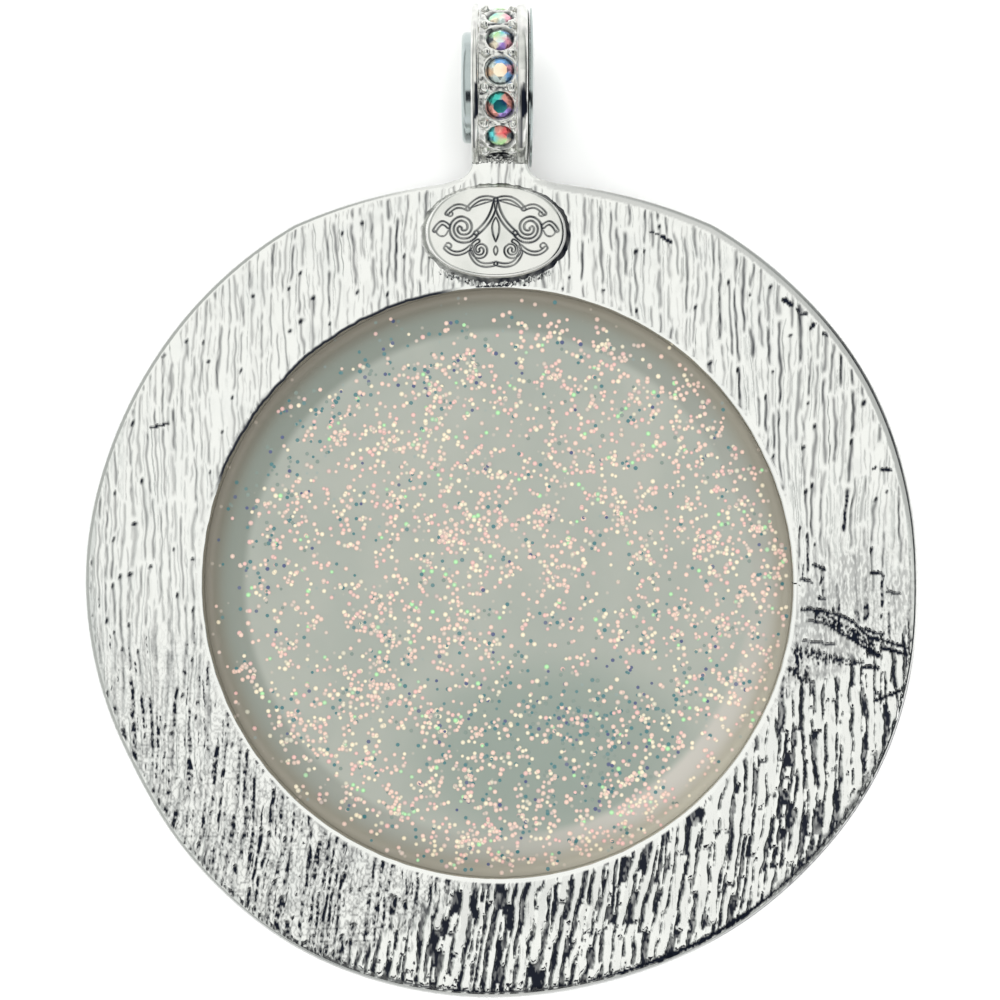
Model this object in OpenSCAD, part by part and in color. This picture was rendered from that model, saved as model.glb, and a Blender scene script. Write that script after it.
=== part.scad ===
// Round crystal pendant lying face down: +Z is the back face, +Y points to the bail.
// The origin is on the surface it rests on, under the middle of its box.

/* [Flange] */
// Radius of the wide flat ring, seen from the back
flange_r = 32.25; // [28:0.25:36]
// Thickness of the flat ring
flange_t = 2; // [1.6:0.1:2.6]
// Radius of the flatter arc that trims the ring beside the neck
crown_arc_r = 40; // [38:1:50]
// Distance from the ring's centre to the middle of that flatter arc
crown_reach = 31.3; // [31:0.1:32]
// Rounding of the ring's outer edge on the back
back_round = 0.7; // [0.3:0.1:0.9]
// Rounding of the ring's outer edge on the front
front_round = 0.4; // [0.2:0.1:0.9]
// Total depth from the resting rim to the back face
body_depth = 8.2; // [8.1:0.1:10]

/* [Opening and collar] */
// Radius of the round opening that holds the resin stone
opening_r = 23; // [20:0.25:24]
// Sideways offset of the opening from the ring's centre
off_centre = -0.4; // [-0.6:0.1:0.6]
// Wall of the collar at its resting rim
collar_wall = 1.4; // [1.2:0.1:2]
// Extra wall of the collar where it meets the flat ring
collar_draft = 0.4; // [0:0.1:0.8]
// Height of the sloping fillet between the collar and the flat ring
collar_fillet = 0.9; // [0.4:0.1:1.5]
// Bevel on the collar's rim and on the edge of the opening
edge_bevel = 0.2; // [0.1:0.05:0.3]

/* [Resin stone] */
// Depth of the stone's back below the back face
stone_recess = 1.4; // [1:0.1:2]
// Radius of the flat middle of the stone's back
stone_flat_r = 20.5; // [18:0.5:21]
// Drop of the stone's rounded shoulder at the wall
shoulder_drop = 0.6; // [0.3:0.1:1]
// Clearance of the stone's front at its middle above the resting rim
stone_clear = 0.3; // [0.2:0.1:0.6]
// Height of the low crown on the stone's front
stone_crown = 0.7; // [0.3:0.1:1.2]

/* [Neck and plate] */
// Width of the neck between the flat ring and the bail
neck_w = 4.3; // [4:0.1:4.6]
// Radius of the fillets at the foot of the neck
neck_fillet = 1.5; // [1:0.1:2]
// Length of the raised oval plate's face
plate_l = 10.8; // [9:0.1:11.2]
// Height of the raised oval plate's face
plate_h = 7; // [6:0.1:7.2]
// How far the plate stands above the back face
plate_t = 0.9; // [0.6:0.1:1.2]
// How far the plate's wall spreads at its foot
plate_spread = 0.35; // [0.1:0.05:0.4]
// Distance from the ring's centre to the plate's centre
plate_y = 27.15; // [26.9:0.05:27.3]
// Sideways offset of the plate from the ring's centre
plate_shift = -0.6; // [-0.8:0.05:0.8]
// Radius of the plate's two ends as a share of its height
plate_end_share = 0.36; // [0.34:0.01:0.42]

/* [Bail] */
// Sideways offset of the neck and the bail from the ring's centre
bail_shift = -0.27; // [-0.6:0.01:0.6]
// Outer radius of the bail's two rims
bail_r = 6.4; // [6.2:0.05:6.5]
// Distance from the ring's centre to the bail's centre
bail_y = 38.75; // [38.5:0.05:39]
// Height of the bail's axis below the back face
bail_sink = 1.55; // [1.4:0.05:1.65]
// Width of the set band between its outer sides
band_w = 4.4; // [4.3:0.05:4.5]
// Width of each rim beside the row of crystals
rim_w = 0.7; // [0.5:0.02:0.72]
// Depth of the channel between the rims
channel_depth = 0.5; // [0.4:0.05:0.6]
// Radius of the hole through the band, for the liner
band_bore_r = 4.3; // [4.1:0.05:4.35]

/* [Liner] */
// Radius of the liner's bore, for a chain or cord
liner_bore_r = 3.7; // [3.4:0.05:3.75]
// Reach of the liner's plain end to the left of the bail's middle
liner_left_reach = 2.95; // [2.85:0.05:3.05]
// Reach of the liner's domed end to the right of the bail's middle
liner_right_reach = 2.6; // [2.55:0.05:2.8]
// Outer radius of the liner's domed collar
liner_collar_r = 6.1; // [5.8:0.05:6.15]
// Thickness that is left at the rim of the domed collar
liner_collar_edge = 0.15; // [0.1:0.05:0.15]
// Shadow gap between the band's side and the domed collar
liner_gap = 0.1; // [0.08:0.02:0.12]
// Rounding of the liner's plain end
liner_round = 0.35; // [0.2:0.05:0.4]

/* [Crystals] */
// Width of each crystal at its girdle
crystal_d = 1.95; // [1.8:0.05:2]
// Places round a full turn of the band, of which the two at the neck stay empty
crystal_places = 14; // [14]
// Radius at which the girdles lie
girdle_ring_r = 5.66; // [5.55:0.01:5.75]
// Width of the table as a share of the crystal's width
table_share = 0.56; // [0.5:0.02:0.64]
// Height of the crown as a share of the crystal's width
crown_share = 0.17; // [0.14:0.01:0.2]
// Depth of the pavilion as a share of the crystal's width
pavilion_share = 0.42; // [0.38:0.01:0.44]
// Radius of the small setting beads between the crystals
bead_r = 0.36; // [0.3:0.01:0.38]
// Distance of each bead from the middle of the channel
bead_x = 0.9; // [0.8:0.02:1]

/* [Hidden] */
$fn = 96;
// Sides of the very wide circles whose short arcs shape a low dome
wide_arc_sides = 1440;
// Space left between two pieces that are fitted together
fit_gap = 0.05;
// Overlap that fuses two forms of one casting
fuse = 0.02;
// Length that takes a cutter clear of what it cuts
clear = 1;
crystals_set = crystal_places - 2;
pitch = 360 / crystal_places;

// Heights above the resting surface
back_z = body_depth;
flange_front_z = back_z - flange_t;
axis_z = back_z - bail_sink;
stone_back_z = back_z - stone_recess;

// The ring's centre, set so that the whole box is centred on the origin
ring_y = -(bail_y + bail_r - flange_r) / 2;

channel_r = bail_r - channel_depth;
seat_r = crystal_d / 2 + fit_gap;
seat_floor_r = girdle_ring_r - crystal_d * pavilion_share - fit_gap;
liner_r = band_bore_r - fit_gap;
liner_left = -liner_left_reach;
liner_right = liner_right_reach;
collar_x = band_w / 2 + liner_gap;

// Angle of a crystal round the band, from the back face towards the top: the first is beside the neck
function crystal_angle(i) = -2 * pitch + (i - 1) * pitch;

// A flat ring's side profile: x is the radius, y the height, with both outer edges rounded
module edge_profile(r) {
    translate([0, flange_front_z]) square([r - back_round, flange_t]);
    translate([0, flange_front_z + front_round]) square([r, flange_t - front_round - back_round]);
    translate([0, flange_front_z]) square([r - front_round, flange_t - back_round]);
    translate([r - back_round, back_z - back_round]) circle(back_round);
    translate([r - front_round, flange_front_z + front_round]) circle(front_round);
}

// What lies to the right of the axis, ready to be turned about it
module right_half(size) {
    intersection() {
        children();
        translate([0, -size]) square([size, 2 * size]);
    }
}

// A flat disc with both outer edges rounded
module rounded_disc(r) {
    rotate_extrude() right_half(2 * r) edge_profile(r);
}

// The flat ring: a round disc trimmed by a wider one beside the neck
module flange_disc() {
    intersection() {
        rounded_disc(flange_r);
        translate([0, crown_reach - crown_arc_r, 0]) rounded_disc(crown_arc_r);
    }
}

// The wall round the stone, which the pendant rests on
module collar() {
    foot = opening_r + collar_wall;
    root = foot + collar_draft;
    translate([off_centre, 0, 0]) rotate_extrude() polygon([
        [opening_r - clear, flange_front_z + fuse],
        [opening_r - clear, 0],
        [foot - edge_bevel, 0],
        [foot, edge_bevel],
        [root, flange_front_z - collar_fillet],
        [root + collar_fillet, flange_front_z],
        [root + collar_fillet, flange_front_z + fuse]
    ]);
}

// The cut for the stone, bevelled at both mouths
module opening_cut() {
    mouth_r = opening_r + edge_bevel;
    translate([off_centre, 0, 0]) {
        translate([0, 0, -clear]) cylinder(h = back_z + 2 * clear, r = opening_r);
        translate([0, 0, -fuse])
            cylinder(h = edge_bevel + fuse, r1 = mouth_r + fuse, r2 = opening_r);
        translate([0, 0, back_z - edge_bevel])
            cylinder(h = edge_bevel + fuse, r1 = opening_r, r2 = mouth_r + fuse);
    }
}

// The short neck, with a concave fillet on each side down to the flat ring and a saddle for the bail
module neck() {
    half = neck_w / 2;
    low = crown_reach - clear;
    top = bail_y - band_bore_r;
    foot = crown_reach - fuse;
    difference() {
        translate([bail_shift, 0, flange_front_z]) linear_extrude(flange_t) {
            translate([-half, low]) square([neck_w, top - low]);
            for (side = [-1, 1]) difference() {
                translate([side < 0 ? -half - neck_fillet : half, low])
                    square([neck_fillet, foot - low + neck_fillet]);
                translate([side * (half + neck_fillet), foot + neck_fillet]) circle(neck_fillet);
            }
        }
        on_bail_axis() rotate_extrude() saddle_profile();
    }
}

// What the neck leaves free for the band: the channel's floor, and deeper cuts beside it for the rims
module saddle_profile() {
    tongue = band_w - 2 * rim_w - 2 * fit_gap;
    translate([0, -neck_w]) square([channel_r + fit_gap, 2 * neck_w]);
    for (side = [-1, 1])
        translate([0, side < 0 ? -neck_w : tongue / 2])
            square([bail_r + fit_gap, neck_w - tongue / 2]);
}

// An oval of four tangent arcs, long along X
module oval(length, height) {
    end_r = height * plate_end_share;
    end_x = length / 2 - end_r;
    side_r = (pow(end_x, 2) + pow(height / 2, 2) - pow(end_r, 2)) / (height - 2 * end_r);
    side_y = side_r - height / 2;
    meet_x = end_x * side_r / (side_r - end_r);
    for (side = [-1, 1]) translate([side * end_x, 0]) circle(end_r);
    intersection() {
        translate([0, -side_y]) circle(side_r);
        translate([0, side_y]) circle(side_r);
        square([2 * meet_x, height], center = true);
    }
}

// The raised oval plate, left bare, with a wall that spreads to its foot
module plate() {
    skin = 0.01;
    translate([plate_shift, plate_y, back_z]) hull() {
        translate([0, 0, -fuse])
            linear_extrude(skin) oval(plate_l + 2 * plate_spread, plate_h + 2 * plate_spread);
        translate([0, 0, plate_t - skin]) linear_extrude(skin) oval(plate_l, plate_h);
    }
}

// Puts what is modelled round the Z axis onto the bail's sideways axis
module on_bail_axis() {
    translate([bail_shift, bail_y, axis_z]) rotate([0, 90, 0]) children();
}

// Puts a piece that stands up along Z at one angle round the band
module round_band(angle, r) {
    translate([bail_shift, bail_y, axis_z]) rotate([-angle, 0, 0]) translate([0, 0, r]) children();
}

// The band that the crystals are set in: a channel between two round-topped rims
module band() {
    rim_x = band_w / 2 - rim_w / 2;
    on_bail_axis() rotate_extrude() {
        translate([band_bore_r, -band_w / 2]) square([channel_r - band_bore_r, band_w]);
        for (side = [-1, 1]) {
            translate([channel_r - fuse, side * rim_x - rim_w / 2])
                square([channel_depth + fuse - rim_w / 2, rim_w]);
            translate([bail_r - rim_w / 2, side * rim_x]) circle(rim_w / 2);
        }
    }
}

// The round pockets that the crystals sit in
module seats() {
    for (i = [1 : crystals_set])
        round_band(crystal_angle(i), seat_floor_r) cylinder(h = bail_r, r = seat_r);
}

// Pairs of small beads that hold the crystals, one pair on each side of every crystal
module beads() {
    for (i = [0 : crystals_set], side = [-1, 1])
        round_band(crystal_angle(i) + pitch / 2, bail_r - bead_r)
            translate([side * bead_x, 0, 0]) sphere(bead_r);
}

// One casting: the flat ring, the collar, the neck and the plate
module frame() {
    color("silver") translate([0, ring_y, 0]) {
        difference() {
            union() {
                flange_disc();
                collar();
            }
            opening_cut();
        }
        neck();
        plate();
    }
}

// The ring-shaped bail on the end of the neck: the band with its seats and beads
module bail() {
    color("silver") translate([0, ring_y, 0]) {
        difference() {
            band();
            seats();
        }
        beads();
    }
}

// The flanged sleeve through the band: a plain rounded end on the left, a domed collar on the right
module bail_liner() {
    // The dome is a wide arc, centred on the bore's axis, from the collar's rim to the mouth of the bore
    rim_x = collar_x + liner_collar_edge;
    dome_x = (pow(rim_x, 2) + pow(liner_collar_r, 2) - pow(liner_right, 2) - pow(liner_bore_r, 2))
        / (2 * (rim_x - liner_right));
    dome_r = norm([rim_x - dome_x, liner_collar_r]);
    tube_wall = liner_r - liner_bore_r;
    tube_l = collar_x - liner_left;
    color("gainsboro") translate([0, ring_y, 0]) on_bail_axis() rotate_extrude() {
        translate([liner_bore_r, liner_left + liner_round])
            square([tube_wall, tube_l - liner_round + fuse]);
        translate([liner_bore_r, liner_left]) square([tube_wall - liner_round, liner_round + fuse]);
        translate([liner_r - liner_round, liner_left + liner_round]) circle(liner_round);
        intersection() {
            translate([liner_bore_r, collar_x])
                square([liner_collar_r - liner_bore_r, liner_right - collar_x]);
            translate([0, dome_x]) circle(dome_r, $fn = wide_arc_sides);
        }
    }
}

// The glitter resin: a thick disc with a rounded shoulder behind and a low crown in front
module resin_stone() {
    stone_r = opening_r - fit_gap;
    reach = stone_r - stone_flat_r;
    shoulder_r = (pow(reach, 2) + pow(shoulder_drop, 2)) / (2 * shoulder_drop);
    crown_r = (pow(stone_r, 2) + pow(stone_crown, 2)) / (2 * stone_crown);
    thick = stone_back_z - stone_clear;
    color("darkseagreen") translate([off_centre, ring_y, 0]) rotate_extrude() intersection() {
        translate([0, stone_clear + crown_r]) circle(crown_r, $fn = wide_arc_sides);
        union() {
            translate([0, stone_clear]) square([stone_flat_r, thick]);
            translate([0, stone_clear]) square([stone_r, thick - shoulder_drop]);
            intersection() {
                translate([stone_flat_r, stone_back_z - shoulder_r]) circle(shoulder_r);
                translate([stone_flat_r - fuse, stone_clear]) square([reach + fuse, thick]);
            }
        }
    }
}

// A cut stone: an eight-sided table, a sixteen-sided girdle and a pointed pavilion
module cut_stone() {
    girdle_r = crystal_d / 2;
    girdle_t = 0.06;
    culet_r = 0.06;
    hull() {
        translate([0, 0, -girdle_t / 2]) cylinder(h = girdle_t, r = girdle_r, $fn = 16);
        translate([0, 0, crystal_d * crown_share - fuse]) rotate(22.5)
            cylinder(h = fuse, r = girdle_r * table_share, $fn = 8);
        translate([0, 0, -crystal_d * pavilion_share]) cylinder(h = fuse, r = culet_r, $fn = 8);
    }
}

// One crystal in its seat, with its table facing out from the bail
module crystal(i) {
    color("paleturquoise") translate([0, ring_y, 0])
        round_band(crystal_angle(i), girdle_ring_r) cut_stone();
}

frame();
bail();
bail_liner();
resin_stone();
for (i = [1 : crystals_set]) crystal(i);
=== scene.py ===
"""Looks of the round crystal pendant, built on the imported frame: it lies face down, its grained back up."""
import math
import random
from functools import partial, reduce
from itertools import product

import bmesh
import bpy
import numpy as np
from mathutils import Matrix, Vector
from mathutils.geometry import delaunay_2d_cdt


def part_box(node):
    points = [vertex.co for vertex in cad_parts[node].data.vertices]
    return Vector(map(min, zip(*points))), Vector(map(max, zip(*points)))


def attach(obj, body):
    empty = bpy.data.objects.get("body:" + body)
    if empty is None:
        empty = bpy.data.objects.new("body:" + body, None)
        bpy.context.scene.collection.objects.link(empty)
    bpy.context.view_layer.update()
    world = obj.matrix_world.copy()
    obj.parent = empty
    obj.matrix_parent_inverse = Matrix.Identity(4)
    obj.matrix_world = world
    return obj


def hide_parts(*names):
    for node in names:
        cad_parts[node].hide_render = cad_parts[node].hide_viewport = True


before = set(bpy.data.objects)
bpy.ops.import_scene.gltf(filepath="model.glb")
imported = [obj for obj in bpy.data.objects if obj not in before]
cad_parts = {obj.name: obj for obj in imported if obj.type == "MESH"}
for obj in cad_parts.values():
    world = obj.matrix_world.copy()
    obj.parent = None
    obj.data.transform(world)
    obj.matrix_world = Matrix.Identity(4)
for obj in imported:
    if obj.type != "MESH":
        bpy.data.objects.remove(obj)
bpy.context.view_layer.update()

# Lengths here are millimetres in the row frame, and meshes are scaled on the way in
MM = 0.001

# Sizes of the solids, as the part's source has them
PLATE_RISE = 0.9
PLATE_HALF_L = 5.4
PLATE_HALF_H = 3.5
PLATE_SPREAD = 0.35
PLATE_X = -0.6
PLATE_Y = 27.15
FRONT_ROUND = 0.4
FLANGE_T = 2.0
CROWN_ARC_R = 40.0
CROWN_REACH = 31.3
COLLAR_WALL = 1.4
COLLAR_DRAFT = 0.4
COLLAR_FILLET = 0.9
EDGE_BEVEL = 0.2
NECK_HALF = 2.15
NECK_FILLET = 1.5
NECK_LAP = 0.55
FIT_GAP = 0.05
STONE_FLAT_R = 20.5
STONE_CROWN = 0.7
CRYSTALS = 12
CRYSTAL_STEP = 360 / 14
CRYSTAL_R = 0.975
GIRDLE_RING_R = 5.66


def node_box(name):
    low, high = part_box(name)
    return np.array(low) / MM, np.array(high) / MM


FRAME_LOW, FRAME_HIGH = node_box("frame")
STONE_LOW, STONE_HIGH = node_box("resin_stone")
BAIL_LOW, BAIL_HIGH = node_box("bail")

RING_R = (FRAME_HIGH[0] - FRAME_LOW[0]) / 2
RING_Y = FRAME_LOW[1] + RING_R
BACK_Z = FRAME_HIGH[2] - PLATE_RISE
FLANGE_FRONT_Z = BACK_Z - FLANGE_T
OPENING_X = (STONE_LOW[0] + STONE_HIGH[0]) / 2
OPENING_R = (STONE_HIGH[0] - STONE_LOW[0]) / 2 + FIT_GAP
BAIL_AXIS = (BAIL_LOW + BAIL_HIGH) / 2
NECK_X = BAIL_AXIS[0]
BAIL_R = (BAIL_HIGH[2] - BAIL_LOW[2]) / 2
NECK_TOP = BAIL_AXIS[1] - BAIL_R + NECK_LAP - RING_Y

# A distance that is out of reach of every edge
FAR = 9.0


# Noise, steps and circles

def hashed(x, y, seed):
    """A number from 0 to 1 for each pair of whole numbers."""
    n = (x.astype(np.int64) * 374761393 + y.astype(np.int64) * 668265263 + seed * 1442695041) & 0xFFFFFFFF
    n = ((n ^ (n >> 13)) * 1274126177) & 0xFFFFFFFF
    n = ((n ^ (n >> 16)) * 2246822519) & 0xFFFFFFFF
    return (n ^ (n >> 15)) / float(0xFFFFFFFF)


def wavy(x, y, seed, size_x=1, size_y=None):
    """Smooth noise from about -1 to 1, with swells of those sizes along x and y."""
    x, y = x / size_x, y / (size_y or size_x)
    xi, yi = np.floor(x), np.floor(y)
    xf, yf = x - xi, y - yi
    ease_x, ease_y = (t * t * t * (t * (t * 6 - 15) + 10) for t in (xf, yf))
    corner = []
    for dy, dx in product((0, 1), (0, 1)):
        turn = hashed(xi + dx, yi + dy, seed) * 2 * math.pi
        corner.append(np.cos(turn) * (xf - dx) + np.sin(turn) * (yf - dy))
    low = corner[0] + (corner[1] - corner[0]) * ease_x
    high = corner[2] + (corner[3] - corner[2]) * ease_x
    return (low + (high - low) * ease_y) * 1.5


def wavy_at(x, y, seed):
    return float(wavy(np.array([x]), np.array([y]), seed)[0])


def ramp(value, low, high):
    """0 below low, 1 above high, smooth between."""
    t = np.clip((value - low) / (high - low), 0.0, 1.0)
    return t * t * (3 - 2 * t)


def fall(value, low, high):
    """1 below low, 0 above high, smooth between."""
    return 1 - ramp(value, low, high)


def span(value, start, full, fade, end):
    """0 outside start and end, 1 between full and fade."""
    return ramp(value, start, full) * fall(value, fade, end)


def bell(value, width):
    return np.exp(-(value / width) ** 2)


def limited(value):
    return max(0.0, min(1.0, value))


def highest(*fields):
    return reduce(np.maximum, fields)


def circle(sides):
    """Even turns round a circle, with their cosines and sines."""
    turn = np.linspace(0, 2 * math.pi, sides, endpoint=False)
    return turn, np.cos(turn), np.sin(turn)


# Meshes

def at_height(x, y, height):
    return np.column_stack([x, y, np.zeros(len(x)) + height])


def loop_faces(first, second, count, closed=True):
    """Quads between two loops of points, by the number of each one's first point."""
    last = count if closed else count - 1
    return [(first + i, first + (i + 1) % count, second + (i + 1) % count, second + i) for i in range(last)]


def tube_faces(rows, count, start=0, closed=True, flipped=False):
    """Quads from each loop of points to the next."""
    faces = []
    for first in range(start, start + (rows - 1) * count, count):
        faces += loop_faces(first, first + count, count, closed)
    return [face[::-1] for face in faces] if flipped else faces


def link_object(name, data):
    obj = bpy.data.objects.new(name, data)
    bpy.context.scene.collection.objects.link(obj)
    return obj


def finish_mesh(mesh, material, smooth=True):
    mesh.materials.append(material)
    mesh.polygons.foreach_set("use_smooth", [smooth] * len(mesh.polygons))
    mesh.update()
    return link_object(mesh.name, mesh)


def mesh_object(name, verts_mm, faces, material, smooth=True):
    """A mesh object from points in millimetres."""
    mesh = bpy.data.meshes.new(name)
    mesh.from_pydata([tuple(v) for v in np.asarray(verts_mm) * MM], [], faces)
    mesh.validate()
    return finish_mesh(mesh, material, smooth)


def add_layer(obj, name, domain, colours):
    layer = obj.data.color_attributes.new(name, "FLOAT_COLOR", domain)
    layer.data.foreach_set("color", np.array(colours).ravel())


def add_tarnish_and_painted_shade(obj, shade):
    """Each point's share of tarnish and painted shade, 0 to 1."""
    add_layer(obj, "tarnish_and_painted_shade", "POINT", np.column_stack([np.clip(shade, 0, 1)] * 3 + [np.ones(len(shade))]))


def add_piece(obj, node):
    """The piece stands for that CAD node."""
    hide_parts(node)
    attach(obj, "root")


def add_metal(name, verts, faces, metal, shade, node, smooth=True):
    obj = mesh_object(name, verts, faces, metal, smooth)
    add_tarnish_and_painted_shade(obj, shade)
    add_piece(obj, node)


# Nodes of materials

def set_inputs(node, values):
    """Sets a node's sockets to numbers or colours, or links other nodes' outputs to them."""
    for name, value in values.items():
        if isinstance(value, bpy.types.NodeSocket):
            node.id_data.links.new(value, node.inputs[name])
        else:
            node.inputs[name].default_value = value


def add_node(tree, kind, values=None, **settings):
    """The outputs of a new node."""
    node = tree.nodes.new("ShaderNode" + kind)
    for name, value in settings.items():
        setattr(node, name, value)
    set_inputs(node, values or {})
    return node.outputs


def math_node(tree, operation, *values):
    return add_node(tree, "Math", dict(enumerate(values)), operation=operation)[0]


def edge_node(tree, value, low, high):
    """A smooth step from low to high."""
    sockets = {"Value": value, "From Min": low, "From Max": high}
    return add_node(tree, "MapRange", sockets, interpolation_type="SMOOTHSTEP")["Result"]


def blend_node(tree, share, first, second):
    """Mixes two colours."""
    return add_node(tree, "Mix", {"Factor": share, 6: first, 7: second}, data_type="RGBA")[2]


def tools_for(tree):
    """The node makers for one tree, and one for products."""
    return (partial(add_node, tree), partial(math_node, tree), partial(math_node, tree, "MULTIPLY"),
            partial(edge_node, tree), partial(blend_node, tree))


def new_material(name, values):
    """A material, its shader and the makers for its nodes."""
    material = bpy.data.materials.new(name)
    material.use_nodes = True
    shader = material.node_tree.nodes["Principled BSDF"]
    set_inputs(shader, values)
    return material, shader, tools_for(material.node_tree)


# Camera and stage

CAMERA_X = -0.28
CAMERA_Y = RING_Y + 6.52
CAMERA_HEIGHT = 139.5
VIEW_WIDTH = 77.4
SENSOR = 36.0
FLOOR_R = 620.0
FLOOR_SIDES = 96

# Square lights over the pendant: name, place and side in mm, and power
SOFTBOXES = (
    ("softbox", (-420, 380, 700), 520, 1.2),
    ("top_light", (0, 0, 900), 500, 3.2),
    ("fill_light", (400, -380, 600), 500, 1.2),
)

# The tent's layers: colour, and the steps of a lean whose product is its share
TENT_WHITE = (0.99, 1.0, 0.97, 1)
TENT_LAYERS = (
    # A soft grey panel on the right, a paler one low on the left and both sides
    ((0.7, 0.72, 0.7, 1), (("right", 0.3, 0.42), ("right", 0.6, 0.5), ("south", 0.16, 0.04))),
    ((0.76, 0.78, 0.76, 1), (("right", -0.24, -0.36), ("south", -0.2, 0.0))),
    ((0.5, 0.52, 0.5, 1), (("aside", 0.42, 0.8),)),
    # A dark card, a dark curtain on the right, and pale down to the horizon
    ((0.012, 0.014, 0.022, 1), (("south", 0.3, 0.36), ("south", 0.95, 0.8), ("aside", 0.34, 0.26))),
    ((0.03, 0.035, 0.04, 1), (("right", 0.75, 1.0), ("up", 0.28, 0.34), ("slant", 1.0, 0.7))),
    ((1.1, 1.1, 1.1, 1), (("up", 0.3, 0.24),)),
)


def make_camera():
    data = bpy.data.cameras.new("camera")
    data.sensor_width = SENSOR
    data.lens = SENSOR * CAMERA_HEIGHT / VIEW_WIDTH
    data.clip_start = 0.01
    data.clip_end = 20
    camera = link_object("camera", data)
    camera.location = Vector((CAMERA_X, CAMERA_Y, BACK_Z + CAMERA_HEIGHT)) * MM
    bpy.context.scene.camera = camera


def make_floor():
    """A wide disc of pale paper."""
    paper, _, _ = new_material("floor_paper", {
        "Base Color": (0.96, 0.96, 0.96, 1), "Roughness": 0.9, "Specular IOR Level": 0.1,
        "Emission Color": (1, 1, 1, 1), "Emission Strength": 0.05,
    })
    _, cos, sin = circle(FLOOR_SIDES)
    floor = mesh_object("floor", at_height(FLOOR_R * cos, FLOOR_R * sin, 0), [tuple(range(FLOOR_SIDES))], paper)


def make_world():
    """A white tent, seen by how far each direction leans off the vertical: each layer covers the one before."""
    world = bpy.data.worlds.new("tent")
    bpy.context.scene.world = world
    world.use_nodes = True
    tree = world.node_tree
    tree.nodes.clear()
    add, calc, times, step, mix = tools_for(tree)
    east, north, up = add("SeparateXYZ", {0: add("TexCoord")["Generated"]})
    height = calc("MAXIMUM", up, 0.05)
    leans = {"up": up, "right": calc("DIVIDE", east, height)}
    leans["south"] = times(calc("DIVIDE", north, height), -1.0)
    leans["aside"] = calc("ABSOLUTE", leans["right"])
    leans["slant"] = calc("ABSOLUTE", calc("DIVIDE", leans["south"], calc("MAXIMUM", leans["aside"], 0.05)))
    shade = TENT_WHITE
    for colour, steps in TENT_LAYERS:
        shade = mix(reduce(times, [step(leans[name], low, high) for name, low, high in steps]), shade, colour)
    sky = add("Background", {"Color": shade, "Strength": 1.0})[0]
    add("OutputWorld", {"Surface": sky})


def make_lights():
    """Area lights that face the pendant and aren't mirrored in it."""
    for name, place, size, power in SOFTBOXES:
        data = bpy.data.lights.new(name, "AREA")
        data.size = size * MM
        data.energy = power
        light = link_object(name, data)
        light.location = Vector(place) * MM
        light.visible_glossy = False
        light.rotation_mode = "QUATERNION"
        light.rotation_quaternion = (Vector((0, 0, 0)) - Vector(place)).to_track_quat("-Z", "Y")


# Materials

# The bluer pool low on the right of the resin: middle and half size, in mm from the opening's middle
POOL_X = 4
POOL_Y = -13
POOL_HALF_W = 12
POOL_HALF_H = 7.5

# Bands along the resin's rim, with painted shade above and painted light low on the right: start and full reach in
# mm, and their colours above and low on the right
PAINTED_RIM_BANDS = (
    (19.4, 20.2, (0.195, 0.222, 0.19, 1), (0.49, 0.465, 0.42, 1)),
    (20.9, 22.8, (0.205, 0.185, 0.145, 1), (0.46, 0.43, 0.345, 1)),
)


def worn_metal(name, wear_scale, worn_from, bright, dull, least_rough, most_rough):
    """A metal worn duller in patches, and the parts that more nodes can be linked to."""
    material, shader, tools = new_material(name, {"Metallic": 1.0})
    add, _, _, step, mix = tools
    place = add("TexCoord")["Object"]
    wear = add("TexNoise", {"Scale": wear_scale, "Detail": 4, "Vector": place})[0]
    rough = add("MapRange", {"Value": wear, "To Min": least_rough, "To Max": most_rough})[0]
    colour = mix(step(wear, worn_from, 0.75), bright, dull)
    set_inputs(shader, {"Base Color": colour, "Roughness": rough})
    return material, shader, tools, place, colour, rough


def plated_material(name, bright, dull, grain_scale, grain_depth, roughest):
    """Bright plated metal, dull where it is worn, and dark where its mesh carries tarnish or painted shade and
    reflection.
    """
    material, shader, (add, calc, _, _, mix), place, worn, rough = worn_metal(
        name, 320, 0.45, bright, dull, 0.05, roughest)
    stretched = add("Mapping", {"Scale": (1.0, 0.4, 1.0), "Vector": place})[0]
    fine = add("TexNoise", {"Scale": grain_scale, "Detail": 2, "Vector": stretched})[0]
    tarnish_and_painted_shade = add("VertexColor", layer_name="tarnish_and_painted_shade")[0]
    set_inputs(shader, {
        "Base Color": mix(tarnish_and_painted_shade, worn, (0.014, 0.018, 0.032, 1)),
        "Roughness": calc("MULTIPLY_ADD", tarnish_and_painted_shade, 0.25, rough),
        "Normal": add("Bump", {"Strength": 0.25, "Distance": grain_depth, "Height": fine})[0],
    })
    return material


def tinted_material(name, values):
    """Coloured by the mesh's own tints."""
    material, shader, (add, *_) = new_material(name, values)
    set_inputs(shader, {"Base Color": add("VertexColor", layer_name="tint")[0]})
    return material


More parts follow.
